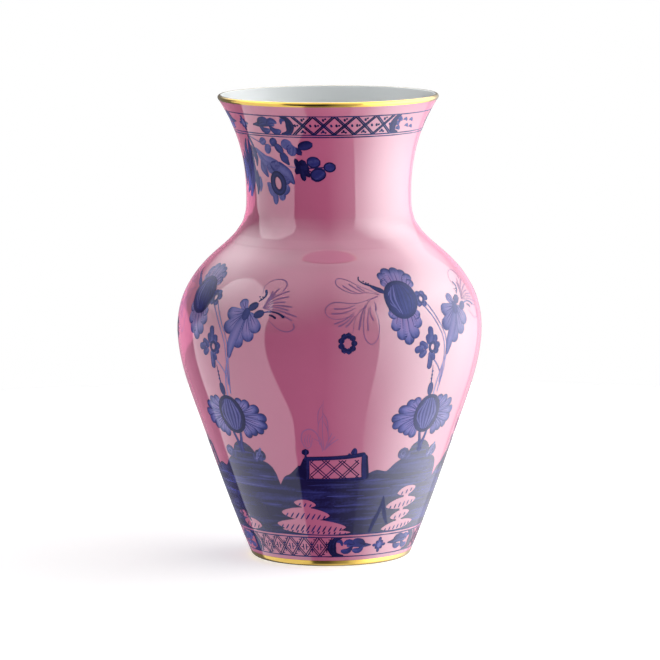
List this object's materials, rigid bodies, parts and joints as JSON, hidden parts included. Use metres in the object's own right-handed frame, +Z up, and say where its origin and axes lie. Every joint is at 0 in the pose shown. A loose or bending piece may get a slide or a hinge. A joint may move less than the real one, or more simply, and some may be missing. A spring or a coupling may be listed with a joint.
{
  "type": "vase",
  "caption": "Baluster porcelain vase with a flared neck, a pink ground, blue painted borders, and gilding on the lip and foot.",
  "frame": {"origin": "centre of the foot, on the surface that the vase stands on", "axes": "+Z up along the axis that the vase was turned on, +X to the right, -Y to the front"},
  "size_m": [0.1972, 0.197, 0.3],
  "materials": {
    "bisque": "unglazed fired porcelain",
    "white_glaze": "clear glaze on white porcelain, glossy",
    "pink_ground": "pink ground under a glossy glaze",
    "gilding": "burnished gold",
    "blue_enamel": "dark blue enamel, glossy"
  },
  "bodies": {
    "root": {"porcelain_body": "bisque", "lining_glaze": "white_glaze", "base_glaze": "white_glaze", "ground_glaze": "pink_ground", "lip_gilding": "gilding", "foot_gilding": "gilding", "neck_border_rings": "blue_enamel", "foot_border_rings": "blue_enamel"}
  },
  "joints": []
}
